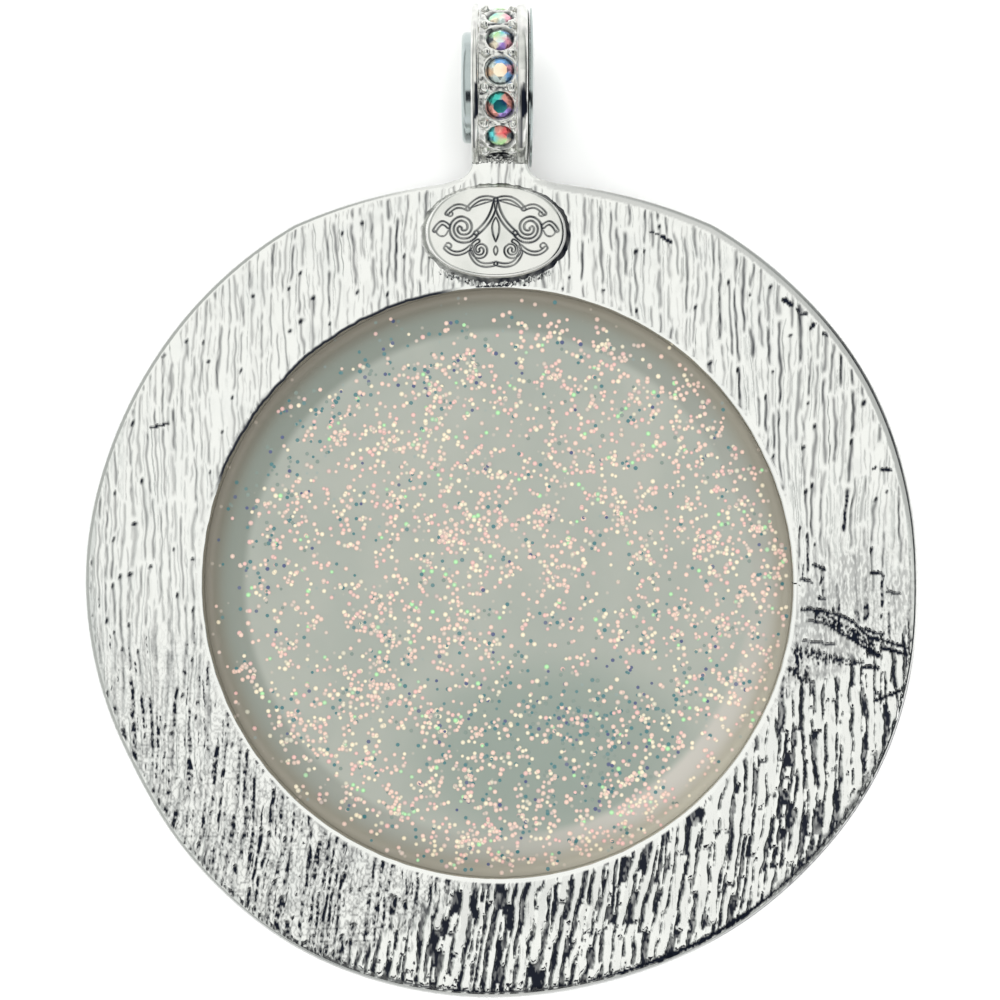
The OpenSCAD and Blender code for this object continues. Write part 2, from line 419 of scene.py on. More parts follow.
def resin_material():
    """Milky grey-green resin, tinted by place, with painted shade along its rim above and painted light low on the
    right, faint sunk flecks and a glossy skin.
    """
    material, shader, (add, calc, times, step, mix) = new_material("milky_resin", {
        "Roughness": 0.35, "Specular IOR Level": 0.3, "Coat Weight": 1.0, "Coat Roughness": 0.35, "Coat IOR": 1.45,
        "Subsurface Weight": 0.25, "Subsurface Radius": (0.6, 0.6, 0.5), "Subsurface Scale": 0.001,
    })

    def squares(first, second):
        return calc("ADD", times(first, first), times(second, second))

    place = add("TexCoord")["Object"]
    east, north, _ = add("SeparateXYZ", {0: place})
    dx = calc("SUBTRACT", east, OPENING_X * MM)
    dy = calc("SUBTRACT", north, RING_Y * MM)
    reach = calc("SQRT", squares(dx, dy))
    cloud = add("TexNoise", {"Scale": 130, "Detail": 3, "Vector": place})[0]
    tone = mix(step(cloud, 0.3, 0.7), (0.365, 0.38, 0.337, 1), (0.32, 0.345, 0.306, 1))
    pool_x = calc("DIVIDE", calc("SUBTRACT", dx, POOL_X * MM), POOL_HALF_W * MM)
    pool_y = calc("DIVIDE", calc("SUBTRACT", dy, POOL_Y * MM), POOL_HALF_H * MM)
    tone = mix(step(squares(pool_x, pool_y), 1.3, 0.2), tone, (0.243, 0.288, 0.251, 1))
    # Painted shade and light: the rim bands are dark above and on the upper left, under the wall's shadow, and pale
    # low on the right, where light falls
    aside = calc("ADD", times(dx, 0.707), times(dy, -0.707))
    aside = calc("DIVIDE", aside, calc("MAXIMUM", reach, 1 * MM))
    aside = calc("MULTIPLY_ADD", aside, 0.5, 0.5)
    sharp = times(calc("POWER", aside, 8.0), 0.55)
    aside = calc("MULTIPLY_ADD", aside, 0.45, sharp)
    for start, full, dark, painted_light in PAINTED_RIM_BANDS:
        tone = mix(step(reach, start * MM, full * MM), tone, mix(aside, dark, painted_light))
    flecks = add("TexVoronoi", {"Scale": 1450, "Vector": place})
    few, warmth, _ = add("SeparateColor", {0: flecks["Color"]})
    spot = times(step(flecks["Distance"], 0.26, 0.12), calc("GREATER_THAN", few, 0.72))
    warm = mix(calc("GREATER_THAN", warmth, 0.35), (0.24, 0.33, 0.33, 1), (0.62, 0.52, 0.44, 1))
    set_inputs(shader, {"Base Color": mix(times(spot, 0.45), tone, warm)})
    return material


# The grained face of the ring

GRAIN_X = 0.072
GRAIN_Y = 0.14
OUTLINE_STEP = 0.105
HOLE_STEP = 0.11
FACE_RIM = 0.36
FACE_HOLE = 0.24
EDGE_INSETS = (0.3, 0.22, 0.14, 0.08, 0.03, 0.0)

# The walls below the edge: inset and height of each loop
WALL_LOOPS = ((0.0, BACK_Z - 1.1), (0.0, FLANGE_FRONT_Z + FRONT_ROUND), (0.12, FLANGE_FRONT_Z + 0.12),
              (FRONT_ROUND, FLANGE_FRONT_Z))

# The opening's lip: how far out from its wall and below the back each loop lies
HOLE_LIP = ((0.1, 0.021), (-0.04, 0.033), (-0.12, 0.045), (-0.16, 0.07), (-0.18, 0.13), (-0.14, 0.2),
            (0.0, 0.34), (0.0, 1.0), (0.0, 2.2))

# Where the outline strays from round: degrees round the ring, rise in mm, width in degrees
OUTLINE_BUMPS = ((30, 0.22, 13), (177, 0.2, 14), (240, 0.24, 14), (334, 0.28, 14),
                 (0, -0.12, 8), (207, -0.2, 9), (284, -0.34, 17))

# Arcs of the edge's painted reflection and shade, in degrees round the ring: start, full, fade and end
BOTTOM_DARK_LINE_ARC = (235, 262, 322, 338)
THICK_ARC = (282, 292, 304, 314)
OUTLINE_ARC = (290, 306, 345, 355)
FACET_REFLECTION_ARC = (306, 314, 330, 340)
OPENING_SHADOW_ARC = (139, 143, 153, 158)
OPENING_SHADE_LINE_ARC = (97, 103, 158, 164)

# Lanes of marks in the grain: pitch, length in mm and seed
GROOVES = (0.66, 5.2, 21)
HAIRS = (0.37, 2.4, 141)
RODS = (0.9, 7.0, 61)
BARS = (0.5, 1.7, 81)

# Scuffs, in mm from the ring's centre: both ends and half the width
SCUFFS = (
    (24.4, -2.4, 28.4, -4.7, 0.5), (23.1, -2.0, 24.7, -2.0, 0.14), (28.6, -4.1, 31.4, -5.0, 0.13),
    (24.2, -2.1, 25.6, -2.3, 0.12), (25.6, -2.3, 27.0, -2.9, 0.14), (27.0, -2.9, 28.2, -4.0, 0.13),
    (28.2, -4.0, 29.0, -4.4, 0.1), (23.5, -2.8, 25.0, -3.1, 0.1), (25.0, -3.1, 27.0, -4.3, 0.11),
    (27.0, -4.3, 28.4, -5.2, 0.13), (29.2, -4.9, 31.6, -5.6, 0.16), (28.0, -3.6, 29.4, -3.9, 0.12),
    (28.2, -5.2, 29.0, -5.5, 0.22), (22.7, -5.1, 24.2, -5.4, 0.42), (24.0, -5.5, 27.5, -6.1, 0.34),
    (27.9, -6.4, 28.9, -6.5, 0.15), (22.2, -6.7, 23.9, -7.7, 0.36), (23.2, -4.4, 25.6, -4.7, 0.07),
    (28.6, -9.0, 30.9, -8.1, 0.14), (24.0, 1.5, 24.9, 1.1, 0.13), (28.5, 0.9, 29.3, 0.8, 0.14),
    (23.05, 0.4, 23.9, 0.1, 0.1), (29.8, -0.6, 30.8, -0.8, 0.1), (24.5, 0.0, 24.7, 0.5, 0.1),
    (24.4, -1.1, 24.9, -1.2, 0.09), (21.7, 22.0, 22.2, 21.6, 0.22), (22.6, 21.3, 22.8, 21.1, 0.1),
    (23.0, 20.8, 23.4, 20.9, 0.12), (23.7, 19.7, 24.0, 20.1, 0.15), (24.7, 19.3, 25.0, 19.2, 0.14),
    (11.3, 27.3, 12.5, 26.9, 0.07), (12.2, 26.9, 12.9, 26.5, 0.16), (29.2, 8.9, 29.9, 8.8, 0.14),
    (28.6, 8.9, 28.8, 9.1, 0.1), (-27.3, 12.1, -26.0, 12.4, 0.12), (30.0, 12.7, 30.5, 12.6, 0.08),
    (27.6, 17.4, 28.0, 17.8, 0.11),
)

# Patches that are worn smooth: middle and half the size
SMOOTH_PATCHES = ((24.0, -2.3, 1.6, 2.4), (26.9, 0.4, 1.9, 2.4), (25.2, -4.6, 2.6, 1.3), (30.6, -0.6, 1.0, 2.0),
                  (25.0, -6.9, 1.6, 0.8))


def face_inset(x, y):
    """Distance inside the outline of ring and neck."""
    round_part = RING_R - np.hypot(x, y)
    flat_part = CROWN_ARC_R - np.hypot(x, y - (CROWN_REACH - CROWN_ARC_R))
    side = np.abs(x - NECK_X)
    fillet_x = NECK_HALF + NECK_FILLET
    fillet_y = CROWN_REACH + NECK_FILLET
    in_fillet = np.hypot(side - fillet_x, y - fillet_y) - NECK_FILLET
    neck = np.where(y > fillet_y, NECK_HALF - side, np.where(side < fillet_x, in_fillet, -FAR))
    neck = np.where(y > CROWN_REACH - 1.0, neck, -FAR)
    return np.maximum(np.minimum(round_part, flat_part), neck)


def trimmed_reach(cos, sin, inset):
    """Reach of the trimmed ring in each direction."""
    arc_y = CROWN_REACH - CROWN_ARC_R
    flat = arc_y * sin + np.sqrt((CROWN_ARC_R - inset) ** 2 - (arc_y * cos) ** 2)
    return np.minimum(RING_R - inset, flat)


def outline_points(inset):
    """The outline, moved inwards: round the ring clockwise, then over the neck's end."""
    fillet_x = NECK_HALF + NECK_FILLET
    arc_y = CROWN_REACH - CROWN_ARC_R
    start, end = (math.atan2(arc_y + math.sqrt(CROWN_ARC_R ** 2 - x ** 2), x)
                  for x in (NECK_X + fillet_x + 0.7, NECK_X - fillet_x - 0.7))
    end -= 2 * math.pi
    turn = np.linspace(start, end, int((start - end) * RING_R / OUTLINE_STEP))
    cos, sin = np.cos(turn), np.sin(turn)
    reach = trimmed_reach(cos, sin, inset)
    bend = np.radians(np.linspace(265, 180, 14))
    across = np.linspace(inset - NECK_HALF, NECK_HALF - inset, 30)
    left_x = -fillet_x - (NECK_FILLET + inset) * np.cos(bend)
    left_y = CROWN_REACH + NECK_FILLET + (NECK_FILLET + inset) * np.sin(bend)
    x = np.concatenate([reach * cos, NECK_X + left_x, NECK_X + across, NECK_X - left_x[::-1]])
    return x, np.concatenate([reach * sin, left_y, np.full(30, NECK_TOP), left_y[::-1]])


def scuff_shade(x, y):
    """How dark the scribbled scuffs are: open loops in the wide ones, solid thin ones."""
    loops = np.abs(wavy(x, y, 51, 0.46, 0.36) + 0.35 * wavy(x, y, 52, 0.2))
    frayed = 0.45 * wavy(x, y, 53, 0.3, 0.2)
    shade = np.zeros(np.shape(x))
    for x0, y0, x1, y1, half in SCUFFS:
        near = (np.abs(x - (x0 + x1) / 2) < 3.5) & (np.abs(y - (y0 + y1) / 2) < 3.0)
        px, py = x[near] - x0, y[near] - y0
        run_x, run_y = x1 - x0, y1 - y0
        along = np.clip((px * run_x + py * run_y) / (run_x ** 2 + run_y ** 2), 0, 1)
        cover = 1 - np.hypot(px - along * run_x, py - along * run_y) / half + frayed[near]
        solid = 0.9 if half < 0.3 else 0.16 + 0.08 * cover
        mark = ramp(cover, 0.0, 0.25) * fall(loops[near], solid, solid + 0.12)
        shade[near] = np.maximum(shade[near], mark)
    return shade


def smooth_share(x, y):
    """Where the right side is worn smooth."""
    ragged = 0.35 * wavy(x, y, 54, 0.5, 1.6)
    return highest(*(fall(np.hypot((x - mid_x) / half_x, (y - mid_y) / half_y) + ragged, 0.75, 1.0)
                     for mid_x, mid_y, half_x, half_y in SMOOTH_PATCHES))


def lane_marks(x, y, pitch, length, seed):
    """Marks that run up the face in lanes, and lean to the right low down: the distances aside of a mark's line, to
    its nearer end and from its top, and five numbers that each mark has by chance."""
    depth = np.clip(-6 - y, 0, 40)
    lean = -0.16 * np.where(depth < 18, depth * depth / 36, depth - 9)
    drift = 0.75 * wavy(x, y, seed, 4.2 * pitch, 13 * pitch)
    drift = drift + 0.2 * wavy(x, y, seed + 1, pitch, 2 * pitch)
    lane = (x - lean) / pitch + drift
    row = np.floor(lane)
    own = length * (0.5 + hashed(row, row * 0, seed + 2))
    along = y / own + 10 * hashed(row, row * 0, seed + 3)
    part = np.floor(along)
    chance = [hashed(row, part, seed + 4 + k) for k in range(5)]
    aside = (lane - row - 0.5) * pitch + 0.3 * pitch * (chance[4] - 0.5)
    down = (1 - (along - part)) * own
    return aside, np.minimum(down, own - down), down, chance


def fine_grain(x, y):
    """Height and shade of the grain above and on the left: thin wandering grooves, pits at some tops."""
    dashes = ramp(0.12 * x - y, -5, 13)
    right = np.maximum(ramp(x, 2, 20), 0.8 * ramp(y, 20, 26))
    aside, to_end, down, (kind, bold, width, dot, tilt) = lane_marks(x, y, *GROOVES)
    half = 0.065 + 0.05 * width + 0.03 * right * bold + 0.05 * dashes
    line = bell(aside, half) * ramp(to_end, 0.0, 0.5) * (kind < 0.84)
    # Partly painted reflection: the lines grow darker on the right, and black dashes gather low down
    force = (0.33 + 0.28 * bold + 0.28 * right * bold ** 2) * (1 - 0.4 * dashes)
    chain = ramp(wavy(x, y, 33, 0.5, 0.4) + 0.5 * wavy(x, y, 34, 2.5), -0.02, 0.08)
    black = chain * ramp(line, 0.35, 0.5) * (bold > 1 - 0.8 * dashes)
    long = 0.1 + 0.14 * bold
    pit = np.exp(-((aside + 0.3 * down - 0.1) / 0.1) ** 2 - ((down - 0.35) / long) ** 2)
    pit = pit * (dot < 0.34 + 0.22 * dashes)
    thin, thin_end, _, (thin_kind, thin_bold, *_) = lane_marks(x, y, *HAIRS)
    faint = bell(thin, 0.055) * ramp(thin_end, 0.0, 0.4) * (thin_kind < 0.66)
    black = np.maximum(black, chain * ramp(faint, 0.4, 0.6) * (thin_bold < 0.45 * dashes))
    clouds = ramp(wavy(x, y, 35, 0.9, 1.7), 0.15, 0.45) * (0.05 + 0.1 * dashes)
    bubbles = 0.36 * dashes * fall(np.abs(wavy(x, y, 38, 0.42, 0.5)), 0.08, 0.26)
    shade = np.clip(force, 0, 0.97) * line + (0.14 + 0.24 * thin_bold) * faint + clouds + bubbles
    lumps = (0.004 + 0.01 * dashes) * wavy(x, y, 37, 0.34, 0.45)
    slope = (0.13 * (tilt - 0.5) + 0.03 * right * (tilt > 0.7)) * aside
    height = -0.035 * line * np.maximum(force, black) - 0.012 * faint - 0.06 * pit + lumps - slope
    return height, highest(shade, black, 1.7 * pit)


def rod_form(aside, to_end, half):
    """1 on the flat top of a rod with rounded sides and ends, 0 at its edge."""
    cap = np.clip(half - to_end, 0, None)
    return ramp(1 - np.hypot(aside, cap) / half, 0.0, 0.45)


def coarse_grain(x, y):
    """Height and shade of the grain at the bottom and low on the right: bright rods over dark ground, whose dark is
    partly tarnish and partly painted reflection.
    """
    edge = 0.09 * wavy(x, y, 71, 0.36, 0.4) + 0.05 * wavy(x, y, 72, 0.17, 0.19)
    aside, to_end, _, (kind, bold, width, _, tilt) = lane_marks(x, y, *RODS)
    right = ramp(x, 2, 16)
    rod = rod_form(aside, to_end, 0.23 + 0.08 * right + 0.13 * width + edge) * (kind < 0.92)
    beside, bar_end, _, (bar_kind, _, bar_width, _, _) = lane_marks(x, y, *BARS)
    bar = rod_form(beside, bar_end, 0.12 + 0.11 * bar_width + edge) * (bar_kind < 0.5 + 0.2 * right)
    raised = np.maximum(rod, 0.9 * bar)
    patch = wavy(x, y, 91, 0.6, 1.5) + 0.5 * wavy(x, y, 92, 0.22, 0.4)
    ground = 0.82 - 0.12 * right + 0.3 * wavy(x, y, 93, 0.24, 0.7) + 0.4 * ramp(patch, -0.2, 0.0)
    shade = np.clip(ground, 0.3, 0.99) * fall(raised, 0.14, 0.38)
    streak = 0.28 * ramp(np.abs(wavy(x, y, 94, 0.2, 1.6)), 0.5, 0.8) * rod
    # Painted reflection: the rods are greyer towards the opening at the bottom
    dull = ramp(y + 1.2 * wavy(x, y, 96, 2, 3), -28.0, -25.0) * (1 - 0.6 * right)
    streak = streak + 0.13 * dull * ramp(rod, 0.6, 0.95)
    return 0.075 * raised - 0.1 * (tilt - 0.5) * aside * rod, shade + streak


def grain(x, y):
    """Height and shade of the bark grain over the flat face, by place from the ring's centre: the shade is tarnish in
    the hollows and painted reflection, darker towards the bottom and the lower right.
    """
    fine_height, fine_shade = fine_grain(x, y)
    coarse_height, coarse_shade = coarse_grain(x, y)
    stray = 1.3 * wavy(x, y, 95, 1.4, 2.5) + 1.2 * wavy(x, y, 97, 0.35, 0.9)
    coarse = ramp(0.6 * x - y + stray, 20.8, 22.4)
    smooth = smooth_share(x, y) * (1 - coarse)
    height = fine_height + (coarse_height - fine_height) * coarse
    shade = fine_shade + (coarse_shade - fine_shade) * coarse
    height = height * (1 - 0.7 * smooth)
    flecked = 1 - 0.9 * ramp(wavy(x, y, 58, 0.2, 0.55), 0.05, 0.25)
    shade = shade * (1 - 0.75 * smooth) + 0.36 * smooth * flecked
    scuffed = scuff_shade(x, y)
    foot = plate_share(x - PLATE_X, y - PLATE_Y)
    solder = span(foot, 0.98, 1.02, 1.12, 1.2) * ramp(PLATE_Y - y, 2.7, 3.2)
    blobs = 0.08 + 0.14 * wavy(x, y, 55, 0.3, 0.24) + 0.07 * wavy(x, y, 56, 0.14, 0.12)
    dirt = 0.9 * ramp(wavy(x, y, 57, 0.26, 0.2), 0.1, 0.3) * solder
    return height - 0.06 * scuffed + solder * blobs, np.clip(highest(shade, scuffed, dirt), 0, 1)


def bevel_width(x, y):
    """Width of the face's plain edge, painted grey as a reflection: narrow on the left, wide above on the right."""
    reach = np.maximum(np.hypot(x, y), 1)
    return 0.3 + 0.14 * ramp(-y / reach, 0.75, 0.95) + 0.34 * ramp((x + y) / reach, 0.9, 1.25)


def painted_edge_shade(x, y, inset, inner):
    """Painted reflection and shade on the edge: the greyish bevel, dark ragged lines along its bottom, grey facets
    low on the right, and painted shadow along the opening's upper left.
    """
    turn = np.degrees(np.arctan2(y, x)) % 360
    ragged = 0.1 * wavy(x, y, 63, 0.4) + 0.06 * wavy(x, y, 64, 0.16)
    wide = bevel_width(x, y)
    south = ramp(-y / np.maximum(np.hypot(x, y), 1), 0.5, 0.9)
    broad = ramp(wide, 0.35, 0.6)
    # Painted reflection: the bevel is grey, greyer to the south
    bevel = (0.14 + 0.2 * south + 0.17 * broad * ramp(inset, 0.02, 0.12)) * (y < CROWN_REACH)
    bevel = bevel * fall(inset + 0.5 * ragged, (0.65 + 0.3 * broad) * wide, 1.2 * wide)
    # Painted reflection: a dark ragged line along the bottom, and a dark outline and grey facets low on the right
    thick = 0.06 + 0.11 * span(turn, *THICK_ARC)
    groove = span(turn, *BOTTOM_DARK_LINE_ARC) * fall(np.abs(inset - 0.54 + ragged), thick, thick + 0.06)
    outline = span(turn, *OUTLINE_ARC) * fall(inset, 0.06, 0.14)
    facet_reflection = span(turn, *FACET_REFLECTION_ARC) * fall(inset + 2 * ragged, 0.8, 1.0)
    facet_reflection = facet_reflection * (0.42 + 0.4 * wavy(x, y, 65, 0.5))
    # Painted shadow along the opening's upper left, and a thin painted shade line along its top and left
    opening_shadow = span(turn, *OPENING_SHADOW_ARC) * fall(inner + 2.5 * ragged, 0.24, 0.34)
    opening_shadow = opening_shadow * (1 - 0.7 * bell(inner + ragged - 0.2, 0.07))
    thin = span(turn, *OPENING_SHADE_LINE_ARC) * fall(inner + 0.4 * ragged, 0.02, 0.1)
    return np.clip(highest(groove, outline, facet_reflection, bevel, 0.98 * opening_shadow, 0.98 * thin), 0, 1)


def lip_boldness(x, y):
    """1 where the opening's lip is bold, on the right and below, 0 above on the left."""
    reach = np.hypot(x, y)
    return ramp((0.3 * x - y) / reach, -0.6, -0.1) * (0.3 + 0.7 * ramp(x / reach, -0.85, -0.15))


def edge_drop(inset, x, y):
    """How far the edge lies below the flat back, with two bevels and a rounded corner."""
    shallow = 0.13 * np.clip(0.72 - inset, 0, None)
    steeper = 0.42 * np.clip(0.3 - inset, 0, None)
    size = 0.05 + 0.09 * ramp(0.6 * x - y, 0, 16)
    reach = np.clip(size - inset, 0, size)
    corner = 0.18 * (size - np.sqrt(size ** 2 - reach ** 2)) / 0.14
    return (shallow + steeper + corner) * (1 - 0.6 * ramp(y, CROWN_REACH - 0.8, CROWN_REACH + 0.4))


def face_form(x, y):
    """Height and shade of the ring's back, with its rounded edge and grain."""
    inset = face_inset(x, y)
    inner = np.hypot(x - OPENING_X, y) - OPENING_R
    ragged = 0.18 * wavy(x, y, 61, 0.5) + 0.08 * wavy(x, y, 62, 0.2)
    plain = 0.13 * lip_boldness(x - OPENING_X, y)
    wide = bevel_width(x, y)
    share = ramp(inset + ragged, wide + 0.04, wide + 0.22)
    height, shade = grain(x, y)
    lip = 0.08 * np.clip(0.36 - inner, 0, None)
    shade = shade * share * ramp(inner + 0.3 * ragged, plain - 0.06, plain + 0.06)
    height = height * share * ramp(inner, plain - 0.05, plain + 0.4)
    return BACK_Z - edge_drop(inset, x, y) - lip + height, np.maximum(shade, painted_edge_shade(x, y, inset, inner))


def hole_loop(gap, height):
    """A loop round the opening, that far out from its wall, uneven above on the left."""
    _, x, y = circle(int(2 * math.pi * OPENING_R / HOLE_STEP))
    left = ramp(-x + y, 1.1, 1.35)
    uneven = (0.03 + 0.06 * left) * wavy(x * 18, y * 18, 71) + 0.05 * left * wavy(x * 50, y * 50, 72)
    inwards = min(gap, 0) * (0.2 + 0.8 * lip_boldness(x, y))
    reach = OPENING_R + max(gap, 0) + inwards + uneven * ramp(height, BACK_Z - 1.0, BACK_Z - 0.1)
    return at_height(OPENING_X + x * reach, y * reach, height)


def outline_loop(inset, height=None):
    """A loop round the outline, on the rounded edge or at one height."""
    x, y = outline_points(inset)
    if height is None:
        return at_height(x, y, BACK_Z - edge_drop(np.full(len(x), inset), x, y))
    lowest = BACK_Z - edge_drop(np.zeros(len(x)), x, y)
    return at_height(x, y, np.minimum(height, lowest - 0.02))


def face_grid(rim, hole):
    """Points and triangles of the grained face, fitted between the rim and the hole."""
    grid_x, grid_y = np.meshgrid(np.arange(-RING_R, RING_R, GRAIN_X), np.arange(-RING_R, NECK_TOP, GRAIN_Y))
    jitter = (hashed(grid_x / GRAIN_X, grid_y / GRAIN_Y, 5) - 0.5) * 0.3
    grid_x = (grid_x + (np.arange(len(grid_x)) % 2)[:, None] * GRAIN_X / 2).ravel()
    grid_y = (grid_y + jitter * GRAIN_Y).ravel()
    out_of_hole = np.hypot(grid_x - OPENING_X, grid_y) - OPENING_R > FACE_HOLE + 0.16
    keep = (face_inset(grid_x, grid_y) > FACE_RIM + 0.06) & out_of_hole & (grid_y < NECK_TOP - 0.1)
    flat = np.concatenate([rim[:, :2], hole[:, :2], np.stack([grid_x[keep], grid_y[keep]], axis=1)])
    edges = [(first + i, first + (i + 1) % count) for first, count in ((0, len(rim)), (len(rim), len(hole)))
             for i in range(count)]
    scaled = [Vector((x / GRAIN_X, y / GRAIN_Y)) for x, y in flat]
    points, _, faces, _, _, _ = delaunay_2d_cdt(scaled, edges, [], 1, 1e-7)
    points = np.array([tuple(p) for p in points]) * (GRAIN_X, GRAIN_Y)
    corners = np.array([tuple(f) for f in faces])
    x, y = points[corners].mean(axis=1).T
    return points, corners[np.hypot(x - OPENING_X, y) > OPENING_R + FACE_HOLE - 0.12]


def place_ring(verts):
    """Moves the ring to its place, and its edge a little in or out, as it isn't perfectly round."""
    x, y, z = verts.T
    turn = np.degrees(np.arctan2(y, x))
    reach = np.hypot(x, y)
    stray = np.zeros(len(x))
    for middle, rise, width in OUTLINE_BUMPS:
        stray = stray + rise * bell((turn - middle + 180) % 360 - 180, width)
    share = ramp(reach, OPENING_R + 2, RING_R) * fall(y, CROWN_REACH - 3, CROWN_REACH - 0.5)
    scale = 1 + stray * share / np.maximum(reach, 1)
    return at_height(x * scale, y * scale + RING_Y, z)


def point_normals(verts, corners):
    """The surface's direction at each point, from the faces that meet there."""
    normals = np.zeros(verts.shape)
    for face_set in corners:
        side_a = verts[face_set[:, 1]] - verts[face_set[:, 0]]
        side_b = verts[face_set[:, 2]] - verts[face_set[:, 0]]
        across = np.cross(side_a, side_b)
        for k in range(face_set.shape[1]):
            np.add.at(normals, face_set[:, k], across)
    return normals / np.maximum(np.linalg.norm(normals, axis=1), 1e-12)[:, None]


def make_casting(silver):
    """The grained back, its edge and its walls outside and in the opening, in two halves that meet."""
    rim = outline_loop(FACE_RIM)
    points, triangles = face_grid(rim, hole_loop(FACE_HOLE, BACK_Z))
    height, shade = face_form(*points.T)
    verts, shades, quads = [at_height(*points.T, height)], [shade], []
    count = len(points)
    outer = [(outline_loop(inset), inset, FAR) for inset in EDGE_INSETS]
    outer += [(outline_loop(inset, height), None, FAR) for inset, height in WALL_LOOPS]
    opening = [(hole_loop(gap, BACK_Z - drop), FAR, -0.1 if drop < 0.3 else FAR) for gap, drop in HOLE_LIP]
    for before, loops in ((0, outer), (len(rim), opening)):
        for loop, inset, inner in loops:
            x, y, _ = loop.T
            shades.append(0.16 + 0.14 * wavy(x, y, 66, 3) if inset is None else painted_edge_shade(x, y, inset, inner))
            verts.append(loop)
            quads += loop_faces(before, count, len(loop))
            before = count
            count += len(loop)
    verts = place_ring(np.concatenate(verts))
    shade = np.concatenate(shades)
    parts = [triangles, np.array(quads)]
    normals = point_normals(verts, parts)
    for name, side in (("casting_upper", 1), ("casting_lower", -1)):
        picked = [part[side * (verts[part[:, 0], 1] - RING_Y) > 0] for part in parts]
        used = np.unique(np.concatenate([part.ravel() for part in picked]))
        number = np.zeros(count, dtype=int)
        number[used] = np.arange(len(used))
        faces = [tuple(face) for part in picked for face in number[part].tolist()]
        half = mesh_object(name, verts[used], faces, silver)
        add_tarnish_and_painted_shade(half, shade[used])
        half.data.normals_split_custom_set_from_vertices(normals[used])
        add_piece(half, "frame")


def make_front(silver):
    """The plain underside: flat ring, collar and the neck's lower face."""
    foot = OPENING_R + COLLAR_WALL
    root = foot + COLLAR_DRAFT
    profile = (
        (root + COLLAR_FILLET, FLANGE_FRONT_Z), (root + 0.25, FLANGE_FRONT_Z - 0.3),
        (root, FLANGE_FRONT_Z - COLLAR_FILLET), (foot + 0.1, 1.5), (foot, EDGE_BEVEL), (foot - EDGE_BEVEL, 0.0),
        (OPENING_R + EDGE_BEVEL, 0.0), (OPENING_R, EDGE_BEVEL), (OPENING_R, BACK_Z - 2.1),
    )
    sides = 288
    _, x, y = circle(sides)
    reach = trimmed_reach(x, y, FRONT_ROUND)
    loops = [at_height(x * reach, y * reach, FLANGE_FRONT_Z)]
    loops += [at_height(OPENING_X + x * r, y * r, z) for r, z in profile]
    faces = tube_faces(len(loops), sides)
    neck_x, neck_y = outline_points(FRONT_ROUND)
    near = (neck_y > CROWN_REACH - 1.2) & (np.abs(neck_x - NECK_X) < 6)
    first = len(loops) * sides
    loops.append(at_height(neck_x[near], neck_y[near], FLANGE_FRONT_Z))
    faces.append(tuple(range(first, first + len(loops[-1]))))
    verts = place_ring(np.concatenate(loops))
    # Painted shade: darker in the fillet round the collar's root, over an even tone
    shade = 0.14 + 0.3 * bell(np.abs(verts[:, 2] - FLANGE_FRONT_Z + 0.5), 0.6)
    add_metal("casting_front", verts, faces, silver, shade, "frame", smooth=False)


# The raised oval plate

PLATE_POWER = 2.12
PLATE_SIDES = 480
PLATE_RINGS = 84

# The plate's wall: how far out and how far down each loop lies
PLATE_WALL = ((0.05, 0.3), (0.16, 0.55), (PLATE_SPREAD, 0.86), (PLATE_SPREAD + 0.25, 1.02))

# Curls of the flourish: middle, first and last radius, first angle, turns, half width
CURLS = (
    (2.55, 0.3, 1.12, 0.24, 200, 1.4, 0.12), (1.2, -1.4, 0.7, 0.18, 75, -1.25, 0.1),
    (3.62, -1.12, 0.3, 0.1, 0, 0.9, 0.08), (3.5, 1.4, 0.26, 0.1, 0, -0.9, 0.08),
)

# Its bows: first point, the point that pulls it, last point, half width
BOWS = (
    (0.0, 2.45, 0.2, 0.9, 1.5, -0.1, 0.12), (0.0, -2.45, 1.5, -2.95, 1.92, -1.55, 0.1),
    (0.0, 2.45, 1.3, 2.95, 2.15, 1.75, 0.1), (0.0, 2.45, 1.3, 2.1, 2.15, 1.75, 0.08),
    (3.65, 0.4, 4.2, 1.05, 4.7, 0.1, 0.1), (3.65, 0.1, 4.1, -0.85, 4.7, 0.1, 0.08),
    (1.92, -1.15, 3.0, -2.15, 3.85, -1.25, 0.1), (2.15, 1.75, 3.1, 2.3, 3.75, 1.4, 0.1),
    (0.0, 1.1, 0.55, 0.4, 0.0, -0.75, 0.09), (0.0, -1.1, 0.3, -1.4, 0.0, -1.8, 0.08),
)


def plate_share(x, y):
    """0 at the plate's middle, 1 on its outline."""
    return (np.abs(x / PLATE_HALF_L) ** PLATE_POWER + np.abs(y / PLATE_HALF_H) ** PLATE_POWER) ** (1 / PLATE_POWER)


def ornament_strokes():
    """A plain mirrored flourish of curls and leaves: points along each stroke and its half width."""
    strokes = []
    share = np.linspace(0, 1, 60)
    for mid_x, mid_y, first_r, last_r, first_turn, turns, half in CURLS:
        reach = first_r + (last_r - first_r) * share
        turn = math.radians(first_turn) + turns * 2 * math.pi * share
        strokes.append((np.stack([mid_x + reach * np.cos(turn), mid_y + reach * np.sin(turn)], axis=1), half))
    t = np.linspace(0, 1, 50)[:, None]
    for *ends, half in BOWS:
        first, bend, last = np.array(ends).reshape(3, 2)
        strokes.append(((1 - t) ** 2 * first + 2 * t * (1 - t) * bend + t ** 2 * last, half))
    return strokes + [(points * (-1, 1), half) for points, half in strokes]


